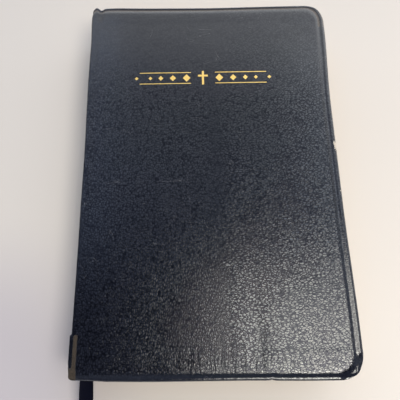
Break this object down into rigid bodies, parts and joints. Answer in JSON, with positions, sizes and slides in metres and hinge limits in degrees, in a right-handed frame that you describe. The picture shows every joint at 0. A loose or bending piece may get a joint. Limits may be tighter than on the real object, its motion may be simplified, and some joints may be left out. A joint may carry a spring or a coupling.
{
  "type": "bible",
  "caption": "Closed leather-bound book with a limp black cover, sewn gatherings of thin gilt-edged leaves, a gold-stamped cover ornament and a ribbon marker.",
  "frame": {"origin": "middle of the underside, measured without the free end of the ribbon", "axes": "+X from the spine to the fore edge, +Y from the tail to the head, +Z from the back cover up to the front cover"},
  "size_m": [0.14, 0.262, 0.028],
  "materials": {
    "cover_leather": "satin",
    "cover_board": "matte",
    "endpaper": "matte",
    "bible_paper": "matte",
    "spine_paper": "matte",
    "mull_cloth": "matte",
    "tape_cloth": "matte",
    "thread": "matte",
    "band_cloth": "satin",
    "ribbon_satin": "satin",
    "gold_foil": "gloss"
  },
  "bodies": {
    "back_half": {"signature_13": "bible_paper", "signature_14": "bible_paper", "signature_15": "bible_paper", "signature_16": "bible_paper", "signature_17": "bible_paper", "signature_18": "bible_paper", "signature_19": "bible_paper", "signature_20": "bible_paper", "signature_21": "bible_paper", "signature_22": "bible_paper", "signature_23": "bible_paper", "signature_24": "bible_paper", "back_flyleaf": "endpaper", "spine_leather_back": "cover_leather", "spine_lining_back": "spine_paper", "spine_mull_back": "mull_cloth", "sewing_tapes_back": "tape_cloth", "sewing_thread_back": "thread", "headband_back": "band_cloth", "tailband_back": "band_cloth", "ribbon_marker": "ribbon_satin", "ribbon_tail": "ribbon_satin"},
    "front_half": {"signature_01": "bible_paper", "signature_02": "bible_paper", "signature_03": "bible_paper", "signature_04": "bible_paper", "signature_05": "bible_paper", "signature_06": "bible_paper", "signature_07": "bible_paper", "signature_08": "bible_paper", "signature_09": "bible_paper", "signature_10": "bible_paper", "signature_11": "bible_paper", "signature_12": "bible_paper", "front_flyleaf": "endpaper", "spine_leather_front": "cover_leather", "spine_lining_front": "spine_paper", "spine_mull_front": "mull_cloth", "sewing_tapes_front": "tape_cloth", "sewing_thread_front": "thread", "headband_front": "band_cloth", "tailband_front": "band_cloth"},
    "front_cover": {"front_cover_leather": "cover_leather", "front_cover_board": "cover_board", "front_cover_filler": "cover_board", "front_pastedown": "endpaper", "cover_ornament": "gold_foil"},
    "back_cover": {"back_cover_leather": "cover_leather", "back_cover_board": "cover_board", "back_cover_filler": "cover_board", "back_pastedown": "endpaper"},
    "lower_leaf": {"turning_leaf_lower": "bible_paper"},
    "upper_leaf": {"turning_leaf_upper": "bible_paper"}
  },
  "joints": [
    {"name": "book_opening", "type": "hinge", "parent": "back_half", "child": "front_half", "pos_m": [-0.07015, 0, 0.014], "axis": [0, -1, 0], "range_deg": [0, 179]},
    {"name": "front_cover_hinge", "type": "hinge", "parent": "front_half", "child": "front_cover", "pos_m": [-0.068, 0, 0.02815], "axis": [0, -1, 0], "range_deg": [0, 179]},
    {"name": "back_cover_hinge", "type": "hinge", "parent": "back_half", "child": "back_cover", "pos_m": [-0.068, 0, -0.0014], "axis": [0, 1, 0], "range_deg": [0, 179]},
    {"name": "lower_leaf_turn", "type": "hinge", "parent": "back_half", "child": "lower_leaf", "pos_m": [-0.07015, 0, 0.014], "axis": [0, -1, 0], "range_deg": [0, 8.06]},
    {"name": "upper_leaf_turn", "type": "hinge", "parent": "front_half", "child": "upper_leaf", "pos_m": [-0.07015, 0, 0.014], "axis": [0, -1, 0], "range_deg": [-8.06, 0]}
  ],
  "couplings": [
    {"joint": "lower_leaf_turn", "follows": "book_opening", "ratio": 0.045},
    {"joint": "upper_leaf_turn", "follows": "book_opening", "ratio": -0.045}
  ]
}
